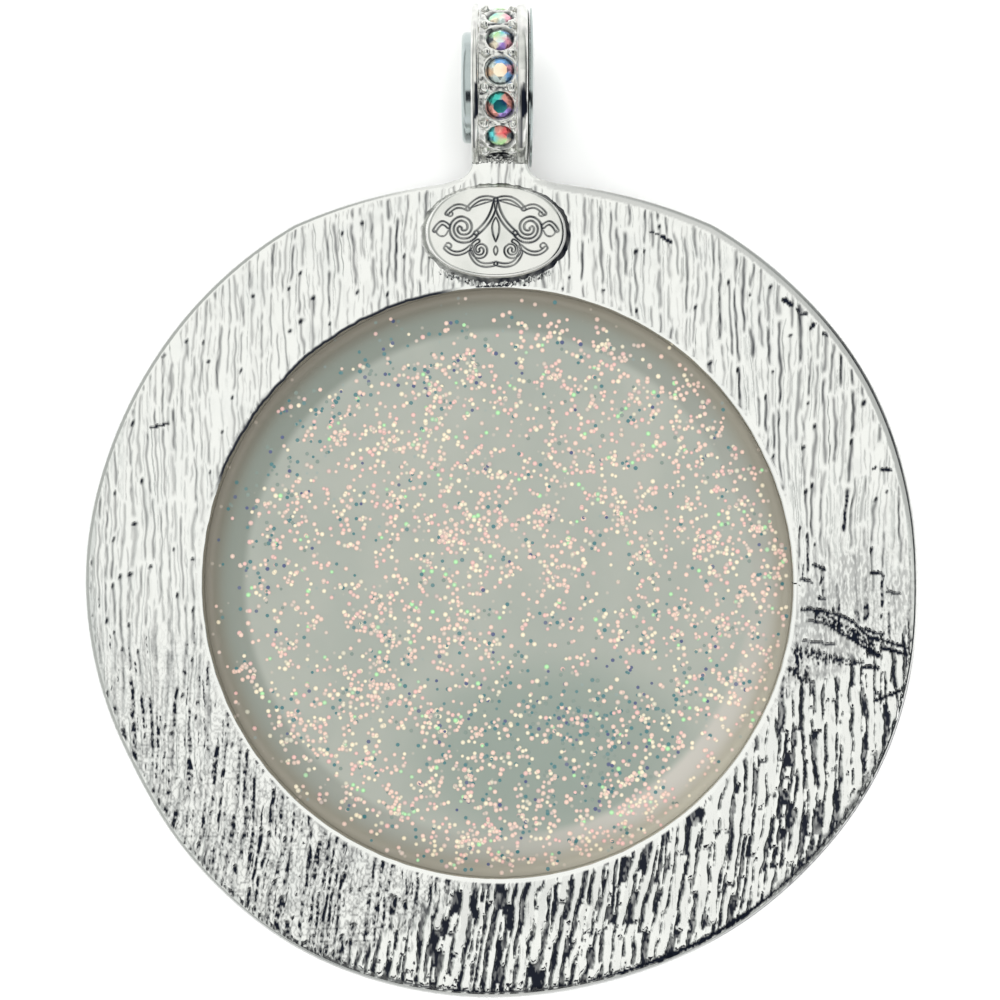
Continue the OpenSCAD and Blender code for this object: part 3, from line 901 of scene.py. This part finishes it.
def plate_form(x, y):
    """Height and shade of the plate's face: low crown, rolled edge, engraved flourish."""
    share = plate_share(x, y)
    crown = 0.05 * (1 - share ** 2)
    roll = (0.24 - 0.16 * ramp(y, 1, 3)) * np.clip((share - 0.925) / 0.075, 0, 1) ** 2
    groove = np.zeros(x.shape)
    # Painted shade: the face's rim darker on the right and below
    shade = 0.35 * ramp(share, 0.95, 1.0) * ramp(x - y, -3, 2)
    force = 1.0 + 0.4 * wavy(x, y, 83, 0.9)
    for points, width in ornament_strokes():
        near = np.full(x.shape, FAR)
        for px, py in points:
            near = np.minimum(near, np.hypot(x - px, y - py))
        cut = bell(near - 1.35 * width * (width > 0.09), 0.6 * width)
        groove = np.minimum(groove, -cut)
        shade = np.maximum(shade, force * cut)
    lumps = 0.006 * wavy(x, y, 81, 0.9, 0.8) + 0.003 * wavy(x, y, 82, 0.3)
    return FRAME_HIGH[2] - 0.05 + crown - roll + 0.06 * groove + lumps, shade


def make_plate(polished):
    """The oval plate: its engraved face, its sloping wall and the solder at its foot."""
    _, cos, sin = circle(PLATE_SIDES)
    reach = 1 / plate_share(cos, sin)
    verts, shades = [], []
    for k in range(PLATE_RINGS + 1):
        x, y = ((along * reach * k / PLATE_RINGS)[:None if k else 1] for along in (cos, sin))
        height, shade = plate_form(x, y)
        verts.append(at_height(x, y, height))
        shades.append(shade)
    for out, down in PLATE_WALL:
        rough = (0.05 + 0.16 * (down > 0.8)) * wavy(cos * 9 + 40, sin * 6, 91) * ramp(-sin, -0.4, 0.5)
        x, y = cos * (reach + out + rough), sin * (reach + out + rough)
        lumps = 0.1 * wavy(x, y, 92, 0.5) * (down > 0.8) * (down < 0.95)
        verts.append(at_height(x, y, FRAME_HIGH[2] - 0.04 - down + lumps))
        # Painted shade: the wall darker on the right and below, with streaks
        streaks = 0.25 * wavy(cos * 7 + 9, sin * 9 + down, 93)
        shades.append(0.2 + 0.72 * ramp(0.75 * cos - 0.65 * sin, -0.7, 0.5) + streaks)
    faces = [(0, 1 + i, 1 + (i + 1) % PLATE_SIDES) for i in range(PLATE_SIDES)]
    faces += tube_faces(PLATE_RINGS + len(PLATE_WALL), PLATE_SIDES, start=1, flipped=True)
    verts = np.concatenate(verts) + (PLATE_X, PLATE_Y + RING_Y, 0)
    add_metal("oval_plate", verts, faces, polished, np.concatenate(shades), "frame")


# The resin disc and its glitter

STONE_WALL_R = OPENING_R + 0.01
SHOULDER_DROP = 0.6
MENISCUS = 0.9
STONE_SIDES = 240
STONE_BACK_RINGS = (0.02, *range(1, 20, 2), 20.2, 20.6, 21.0, 21.4, 21.8, 22.1, 22.3, 22.5, 22.65, 22.8, 22.9,
                    STONE_WALL_R)
STONE_FRONT_RINGS = (STONE_WALL_R, 18, 12, 6, 0.02)

# Flakes: colour in linear light, share and kind
FLAKE_COLOURS = (
    ((0.74, 0.475, 0.385), 0.46, "warm"),
    ((0.76, 0.64, 0.45), 0.25, "warm"),
    ((0.72, 0.38, 0.345), 0.12, "warm"),
    ((0.3, 0.66, 0.28), 0.04, "green"),
    ((0.02, 0.15, 0.17), 0.06, "dark"),
    ((0.03, 0.05, 0.17), 0.015, "dark"),
    ((0.18, 0.24, 0.21), 0.025, "dark"),
)
FLAKES = 5000
FLAKE_R = 0.182
FLAKE_SIDES = 7
CLUSTERED = 0.42
FLAKE_LIFT = 0.014
LIFT_STEP = 0.003
LIFT_STEPS = 6


def stone_back(reach):
    """Height of the stone's back: a shoulder, and a meniscus along the wall."""
    out = np.clip(reach - STONE_FLAT_R, 0, None)
    width = STONE_WALL_R - STONE_FLAT_R
    bend_r = (width ** 2 + SHOULDER_DROP ** 2) / (2 * SHOULDER_DROP)
    climb = np.clip(reach - STONE_WALL_R + MENISCUS, 0, MENISCUS)
    return STONE_HIGH[2] - (bend_r - np.sqrt(bend_r ** 2 - out ** 2)) + 0.5 * climb ** 2 / MENISCUS


def stone_waves(x, y):
    """Slight swells that cured resin has."""
    return 0.012 * wavy(x, y, 101, 7.0) + 0.004 * wavy(x, y, 102, 2.0)


def make_resin(resin):
    """The thick disc, with its shoulder behind and its low crown in front."""
    _, cos, sin = circle(STONE_SIDES)
    crown_r = (STONE_WALL_R ** 2 + STONE_CROWN ** 2) / (2 * STONE_CROWN)
    rows = [(r, stone_back(r) + stone_waves(cos * r, sin * r)) for r in STONE_BACK_RINGS]
    rows += [(STONE_WALL_R, 4.0)]
    rows += [(r, STONE_LOW[2] + crown_r - math.sqrt(crown_r ** 2 - r ** 2)) for r in STONE_FRONT_RINGS]
    loops = [at_height(OPENING_X + cos * r, RING_Y + sin * r, height) for r, height in rows]
    faces = tube_faces(len(rows), STONE_SIDES, flipped=True)
    faces.append(tuple(range(STONE_SIDES)))
    faces.append(tuple(range((len(rows) - 1) * STONE_SIDES, len(rows) * STONE_SIDES))[::-1])
    add_piece(mesh_object("resin_disc", np.concatenate(loops), faces, resin), "resin_stone")


def pick_flake(rng, x, y, reach):
    """A flake's colour by chance: dark ones gather low on the stone and near its upper left edge."""
    low = limited(-y / 8) * max(0.0, 1 - abs(y + 10) / 11) * max(0.0, 1 - abs(x - 7) / 18)
    low *= limited((20.0 - reach) / 3.0)
    corner = max(0.0, reach - 16.5) / 5 if (x < 0 and y > -4) else 0.0
    boost = {"dark": 1 + 5.5 * low + 14 * corner, "warm": 1 - 0.45 * low, "green": 1.0}
    colour, _, kind = rng.choices(FLAKE_COLOURS, weights=[share * boost[kind] for _, share, kind in FLAKE_COLOURS])[0]
    return colour, kind == "dark"


def flake_density(x, y, reach):
    """How thick the glitter lies, from 0 to 1."""
    low_right = limited((x - y) / 20)
    rim = limited((22.9 - reach) / (2.4 - 1.8 * low_right))
    upper_left = limited((reach - 18.0) / 3.0) if x < 4 and y > -6 else 0.0
    patch = 0.78 + 0.42 * wavy_at(x / 5, y / 5, 111)
    centre = 1.0 - 0.25 * math.exp(-((x - 6) ** 2 + (y + 4) ** 2) / 60)
    shoulder = 1 + 0.5 * low_right * limited((reach - 16.0) / 3.0)
    return rim * (1 - 0.74 * upper_left) * patch * centre * shoulder


def flake_tints(colour, dark, sunk, x, y, reach):
    """Colours of a flake's middle and rim: a painted highlight makes the middle bright, and painted light makes the
    flake paler near the rim low on the right.
    """
    # Painted light, as on the resin: paler near the rim low on the right
    painted_light = limited((reach - 18.0) / 2.5) * max(0.0, (x - y) / (1.414 * max(reach, 1.0))) ** 3
    resin = (0.31 + 0.19 * painted_light, 0.335 + 0.14 * painted_light, 0.295 + 0.13 * painted_light)
    shown = [c + (r - c) * 0.65 * sunk for c, r in zip(colour, resin)]
    # Painted highlight: the middle of each flake that isn't dark is brighter
    middle = shown if dark else [min(1.0, c * 1.22 + 0.07) for c in shown]
    rim = [c + (r - c) * (0.15 if dark else 0.36) for c, r in zip(shown, resin)]
    return (*middle, 1), (*rim, 1)


def make_glitter(glitter):
    """Thousands of small flat flakes in the resin's surface, each with a bright middle, a painted highlight."""
    rng = random.Random(5)
    verts, faces, colours = [], [], []
    round_turns, _, _ = circle(FLAKE_SIDES)
    placed = 0
    while placed < FLAKES:
        turn = rng.uniform(0, 2 * math.pi)
        if placed and rng.random() < CLUSTERED:
            step = FLAKE_R * rng.uniform(1.7, 3.2)
            x, y = x + step * math.cos(turn), y + step * math.sin(turn)
        else:
            reach = STONE_WALL_R * math.sqrt(rng.random())
            x, y = reach * math.cos(turn), reach * math.sin(turn)
        reach = math.hypot(x, y)
        if reach > STONE_WALL_R - FLAKE_R or rng.random() > flake_density(x, y, reach):
            continue
        placed += 1
        colour, dark = pick_flake(rng, x, y, reach)
        size = FLAKE_R * rng.uniform(0.75, 1.15) * (0.85 if dark else 1.0)
        sunk = rng.random() ** 2.8 * (0.4 if dark else 1.0)
        middle, rim = flake_tints(colour, dark, sunk, x, y, reach)
        height = stone_back(reach) + stone_waves(np.array([x]), np.array([y]))[0]
        spin = rng.uniform(0, 2 * math.pi)
        tip_x, tip_y = rng.uniform(-0.05, 0.05), rng.uniform(-0.05, 0.05)
        lift = FLAKE_LIFT + LIFT_STEP * (placed % LIFT_STEPS)
        dx, dy = size * np.cos(round_turns + spin), size * np.sin(round_turns + spin)
        slope = stone_back(np.hypot(x + dx, y + dy)) - stone_back(reach)
        tipped = np.maximum(0.01, lift + 0.6 * (dx * tip_x + dy * tip_y))
        base = len(colours)
        verts += [[(x, y, height + lift)], at_height(x + dx, y + dy, height + slope + tipped)]
        faces += [(base, base + 1 + k, base + 1 + (k + 1) % FLAKE_SIDES) for k in range(FLAKE_SIDES)]
        colours += [middle] + [rim] * FLAKE_SIDES
    verts = np.concatenate(verts) + (OPENING_X, RING_Y, 0)
    flakes = mesh_object("glitter_flakes", verts, faces, glitter)
    add_layer(flakes, "tint", "POINT", colours)
    add_piece(flakes, "resin_stone")


# The crystals

# Painted fire and reflections of the five crystals that show, from beside the neck up: the table, then the ring round
# it, each from the right and counterclockwise
FIRE = (
    ("red red red cyan cyan lime lime lime", "dusk red salmon cyan teal lime lime cream"),
    ("navy navy teal teal teal turquoise cyan cyan", "salmon salmon turquoise turquoise salmon salmon violet violet"),
    ("peach cream cream cream cream cream cream peach", "rose sky sky ice peach ice ice sky"),
    ("ice cyan lime lime cream ice ice rose", "dusk sky mint mint dusk cream violet rose"),
    ("rose mint mint cyan mint mint cream rose", "rose ice teal teal mint cream ice rose"),
)
FIRE_COLOURS = {
    "lime": (0.46, 0.8, 0.34), "red": (0.8, 0.1, 0.11), "peach": (1.0, 0.66, 0.44), "cyan": (0.1, 0.66, 0.66),
    "cream": (1.0, 0.86, 0.66), "rose": (0.88, 0.38, 0.48), "navy": (0.02, 0.1, 0.3), "violet": (0.36, 0.22, 0.66),
    "turquoise": (0.04, 0.6, 0.52), "teal": (0.02, 0.24, 0.28), "salmon": (0.88, 0.36, 0.3),
    "sky": (0.16, 0.42, 0.8), "ice": (0.74, 0.86, 0.84), "mint": (0.52, 0.84, 0.6), "dusk": (0.1, 0.12, 0.14),
}
TABLE_Z = 0.34

# Rings of the cut: points, radius, height, share of a step that it is turned by
CUT_RINGS = ((8, 0.54, TABLE_Z, 0.5), (8, 0.77, 0.225, 0.0), (16, CRYSTAL_R, 0.03, 0.0), (16, CRYSTAL_R, -0.03, 0.0))
CULET_Z = -0.82


def crystal_mesh(fire):
    """A brilliant cut: points, faces and the painted colours of the faces' corners, fire and shade."""
    table_fire, ring_fire = ([np.array(FIRE_COLOURS[name]) for name in part.split()] for part in fire)
    points, faces, tints = [], [], []
    for count, radius, height, shift in CUT_RINGS:
        turns = [2 * math.pi * (k + shift) / count for k in range(count)]
        points += [(radius * math.cos(turn), radius * math.sin(turn), height) for turn in turns]
    table, middle, girdle, below, centre, culet = 0, 8, 16, 32, 48, 49
    points += [(0, 0, TABLE_Z), (0, 0, CULET_Z)]

    def facet(*corners):
        faces.append(tuple(number for number, _ in corners))
        tints.extend((*colour, 1.0) for _, colour in corners)

    # Painted shade: the facets darken from the bright table out to a dark girdle band
    heart = sum(table_fire) / 8
    dark = FIRE_COLOURS["dusk"]
    for k in range(8):
        after = (k + 1) % 8
        own, beside = ring_fire[k], ring_fire[after]
        tip, tip_after = girdle + 2 * k + 1, girdle + (2 * k + 2) % 16
        facet((centre, heart), (table + k, table_fire[k]), (table + after, table_fire[after]))
        facet((middle + after, beside), (table + after, 1.15 * beside), (table + k, 0.6 * own + 0.4 * table_fire[k]))
        facet((table + k, 1.1 * own), (middle + k, own), (tip, 0.75 * own), (middle + after, 0.9 * beside))
        facet((middle + k, 0.9 * own), (girdle + 2 * k, 0.5 * own), (tip, 0.4 * own))
        facet((middle + after, 0.8 * beside), (tip, 0.3 * beside), (tip_after, 0.5 * beside))
    for k in range(16):
        after = (k + 1) % 16
        facet(*((corner, dark) for corner in (girdle + k, below + k, below + after, girdle + after)))
    for k in range(16):
        facet(*((corner, ring_fire[k // 2]) for corner in (below + k, culet, below + (k + 1) % 16)))
    return points, faces, tints


def make_crystals(crystal):
    """One cut stone in each seat round the bail."""
    for index in range(CRYSTALS):
        points, faces, tints = crystal_mesh(FIRE[index % len(FIRE)])
        turn = math.radians((index - 2) * CRYSTAL_STEP)
        sin, cos = math.sin(turn), math.cos(turn)
        x, y, out = (np.array(points) + (0, 0, GIRDLE_RING_R)).T
        placed = np.column_stack([x, out * sin + y * cos, out * cos - y * sin]) + BAIL_AXIS
        stone = mesh_object(f"cut_crystal_{index + 1}", placed, faces, crystal, smooth=False)
        add_layer(stone, "tint", "CORNER", np.clip(tints, 0, 1))
        add_piece(stone, f"crystal_{index + 1}")


# The bail

BAIL_SIDES = 420
BAIL_HALF = 2.2
BAIL_BORE = 4.3
CHANNEL_R = 5.9
CHANNEL_LEFT = -1.64
CHANNEL_RIGHT = 1.24
BEADS_X = (-1.12, 0.92)
BEAD_RADII = (0.32, 0.4)

# The band's rims: distance in from its side, and rise over the channel
LEFT_RIM = ((0.0, BAIL_BORE - CHANNEL_R), (0.0, -0.6), (0.0, 0.26), (0.04, 0.38), (0.12, 0.46), (0.2, 0.495),
            (0.34, 0.5), (0.46, 0.47), (0.54, 0.36), (0.56, 0.02))
RIGHT_RIM = ((BAIL_HALF - CHANNEL_RIGHT, 0.02), (0.94, 0.38), (0.88, 0.47), (0.78, 0.5), (0.56, 0.5), (0.4, 0.49),
             (0.28, 0.46), (0.18, 0.4), (0.1, 0.3), (0.04, 0.14), (0.0, -0.1), (0.0, -0.6),
             (0.0, BAIL_BORE - CHANNEL_R))


def channel_form(x, arc):
    """Rise and shade of the bail's channel floor: lumpy metal between hollow seats, with painted shade round each
    seat and between the seats, and a painted highlight on the seats' lips.
    """
    lumps = 0.06 * wavy(x, arc, 121, 0.5, 0.45) + 0.02 * wavy(x, arc, 122, 0.25, 0.22)
    step = math.radians(CRYSTAL_STEP) * CHANNEL_R
    along = (arc / step + 0.5) % 1.0 - 0.5
    near = np.hypot(x, along * step)
    seat = fall(near, 0.98, 1.12)
    lip = bell(near - 1.24, 0.1)
    between = ramp(np.abs(along), 0.4, 0.5)
    pits = ramp(wavy(x, arc, 123, 0.4, 0.3), 0.0, 0.3) * (0.2 + 0.7 * between)
    # Painted shade: a dark ring where each stone meets its seat, and darker pits that gather between the seats by the
    # beads; painted highlight: paler on the seats' lips
    shade = 0.18 + 1.2 * pits - 0.25 * lip + 0.75 * fall(near, 1.00, 1.1)
    return (0.05 + lumps + 0.07 * lip) * (1 - seat) - 0.2 * seat, shade


def rim_painted_reflection(x, turn):
    """Painted reflection on the lower half of the bail's rims: a dark streak that widens downwards."""
    down = np.clip((-0.14 - turn) / 0.46, 0, 1)
    middle, half = (-1.8, 0.06 + 0.14 * down) if x < 0 else (1.76 + 0.05 * down, 0.05 + 0.3 * down)
    side = fall(np.abs(x - middle), half, half + 0.08)
    return (turn > -1) * side * ramp(down, 0.0, 0.08) * fall(down + 0.5 * (x - middle), 0.9, 0.98)


def make_bail(silver):
    """The bail's band: a lumpy channel between two smooth rims, its side walls and its bore."""
    turn, cos, sin = circle(BAIL_SIDES)
    profile = [(inset - BAIL_HALF, rise, False) for inset, rise in LEFT_RIM]
    profile += [(x, 0.0, True) for x in np.linspace(CHANNEL_LEFT, CHANNEL_RIGHT, 26)[1:-1]]
    profile += [(BAIL_HALF - inset, rise, False) for inset, rise in RIGHT_RIM]
    loops, shades = [], []
    for x, rise, in_channel in profile:
        reach = np.full(BAIL_SIDES, CHANNEL_R + rise)
        shade = turn * 0
        if in_channel:
            lumps, shade = channel_form(shade + x, turn * CHANNEL_R)
            reach = reach + lumps
        elif rise > 0.3:
            reach = reach + 0.012 * wavy(turn * 9 + x, turn * 0 + x * 3, 131)
            shade = 0.12 + 0.25 * wavy(turn * 7, turn * 0 + x * 2, 132)
            shade = np.maximum(shade, rim_painted_reflection(x, turn - 2 * math.pi))
        loops.append(np.column_stack([turn * 0 + x, reach * sin, reach * cos]) + BAIL_AXIS)
        shades.append(shade)
    faces = tube_faces(len(profile), BAIL_SIDES, flipped=True)
    faces += [face[::-1] for face in loop_faces((len(profile) - 1) * BAIL_SIDES, 0, BAIL_SIDES)]
    add_metal("bail_band", np.concatenate(loops), faces, silver, np.concatenate(shades), "bail")


def make_beads(silver):
    """Two small uneven beads between each pair of crystals."""
    rng = random.Random(11)
    bm = bmesh.new()
    reach = CHANNEL_R + 0.12
    for index, side in product(range(-3, CRYSTALS - 2), BEADS_X):
        x = side + rng.uniform(-0.08, 0.08)
        turn = math.radians((index + 0.5) * CRYSTAL_STEP) + rng.uniform(-0.015, 0.015)
        size = rng.uniform(*BEAD_RADII)
        middle = Vector(BAIL_AXIS + np.array((x, reach * math.sin(turn), reach * math.cos(turn))))
        for vert in bmesh.ops.create_icosphere(bm, subdivisions=3, radius=size * MM)["verts"]:
            unit = np.array(vert.co) / MM / size
            bump = wavy_at(unit[0] * 1.3 + 7 * index, unit[1] * 1.3 + 3 * side, 141)
            vert.co = vert.co * (1 + 0.16 * bump) + middle * MM
    mesh = bpy.data.meshes.new("bail_beads")
    bm.to_mesh(mesh)
    bm.free()
    add_piece(finish_mesh(mesh, silver), "bail")


def make_solder(silver):
    """The rough solder between bail and neck."""
    columns, rows = 110, 34
    x, share = np.meshgrid(np.linspace(-NECK_HALF - 0.02, NECK_HALF + 0.02, columns), np.linspace(0, 1, rows))
    y = NECK_TOP - 0.45 + 1.05 * share
    ragged = 0.16 * wavy(x / 0.4, x * 0, 151) + 0.1 * wavy(x / 0.17, x * 0, 152)
    y = y + ragged * (0.3 + 0.7 * share)
    out = np.clip(BAIL_AXIS[1] - RING_Y - y, 0.5, 20)
    in_channel = fall(np.abs(x), 1.36, 1.52)
    band_r = CHANNEL_R + 0.5 - 0.42 * in_channel
    band_z = BAIL_AXIS[2] + np.sqrt(np.clip(band_r ** 2 - out ** 2, 0.0, None))
    neck_z = BACK_Z + 0.02
    swell = wavy(x, y, 153, 0.34, 0.3)
    z = neck_z + (np.minimum(band_z, neck_z) - neck_z) * ramp(share, 0.35, 0.8)
    z = z + (0.11 * swell + 0.07 * wavy(x, y, 154, 0.15, 0.14))
    z = z - 0.5 * fall(share, 0.0, 0.1) - 0.4 * ramp(share, 0.9, 1.0)
    corner = ramp(np.abs(x), 1.3, 1.8) * ramp(wavy(x, y, 155, 0.5, 0.4), -0.1, 0.2)
    shade = 0.25 + 0.6 * ramp(swell, 0.1, -0.35) + 0.6 * corner * ramp(share, 0.1, 0.3)
    verts = np.column_stack([(NECK_X + x).ravel(), (RING_Y + y).ravel(), z.ravel()])
    add_metal("solder_seam", verts, tube_faces(rows, columns, closed=False), silver, shade.ravel(), "bail")


make_camera()
make_floor()
make_world()
make_lights()
bpy.context.scene.view_settings.view_transform = "Standard"
silver = plated_material("plated_silver", (0.93, 0.935, 0.915, 1), (0.885, 0.895, 0.88, 1), 5200, 0.00002, 0.16)
polished = plated_material("polished_plating", (0.86, 0.86, 0.83, 1), (0.74, 0.75, 0.72, 1), 900, 0.00006, 0.22)
sleeve = worn_metal("rolled_sleeve", 420, 0.35, (0.5, 0.56, 0.565, 1), (0.42, 0.47, 0.46, 1), 0.1, 0.24)[0]
make_casting(silver)
make_front(silver)
make_plate(polished)
make_resin(resin_material())
make_glitter(tinted_material("glitter", {"Roughness": 0.4, "Coat Weight": 1.0, "Coat Roughness": 0.06}))
make_crystals(tinted_material("rainbow_crystal", {
    "Metallic": 0.75, "Roughness": 0.06, "Coat Weight": 1.0, "Coat Roughness": 0.02,
}))
make_bail(polished)
make_beads(polished)
make_solder(polished)
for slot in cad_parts["bail_liner"].material_slots:
    slot.material = sleeve
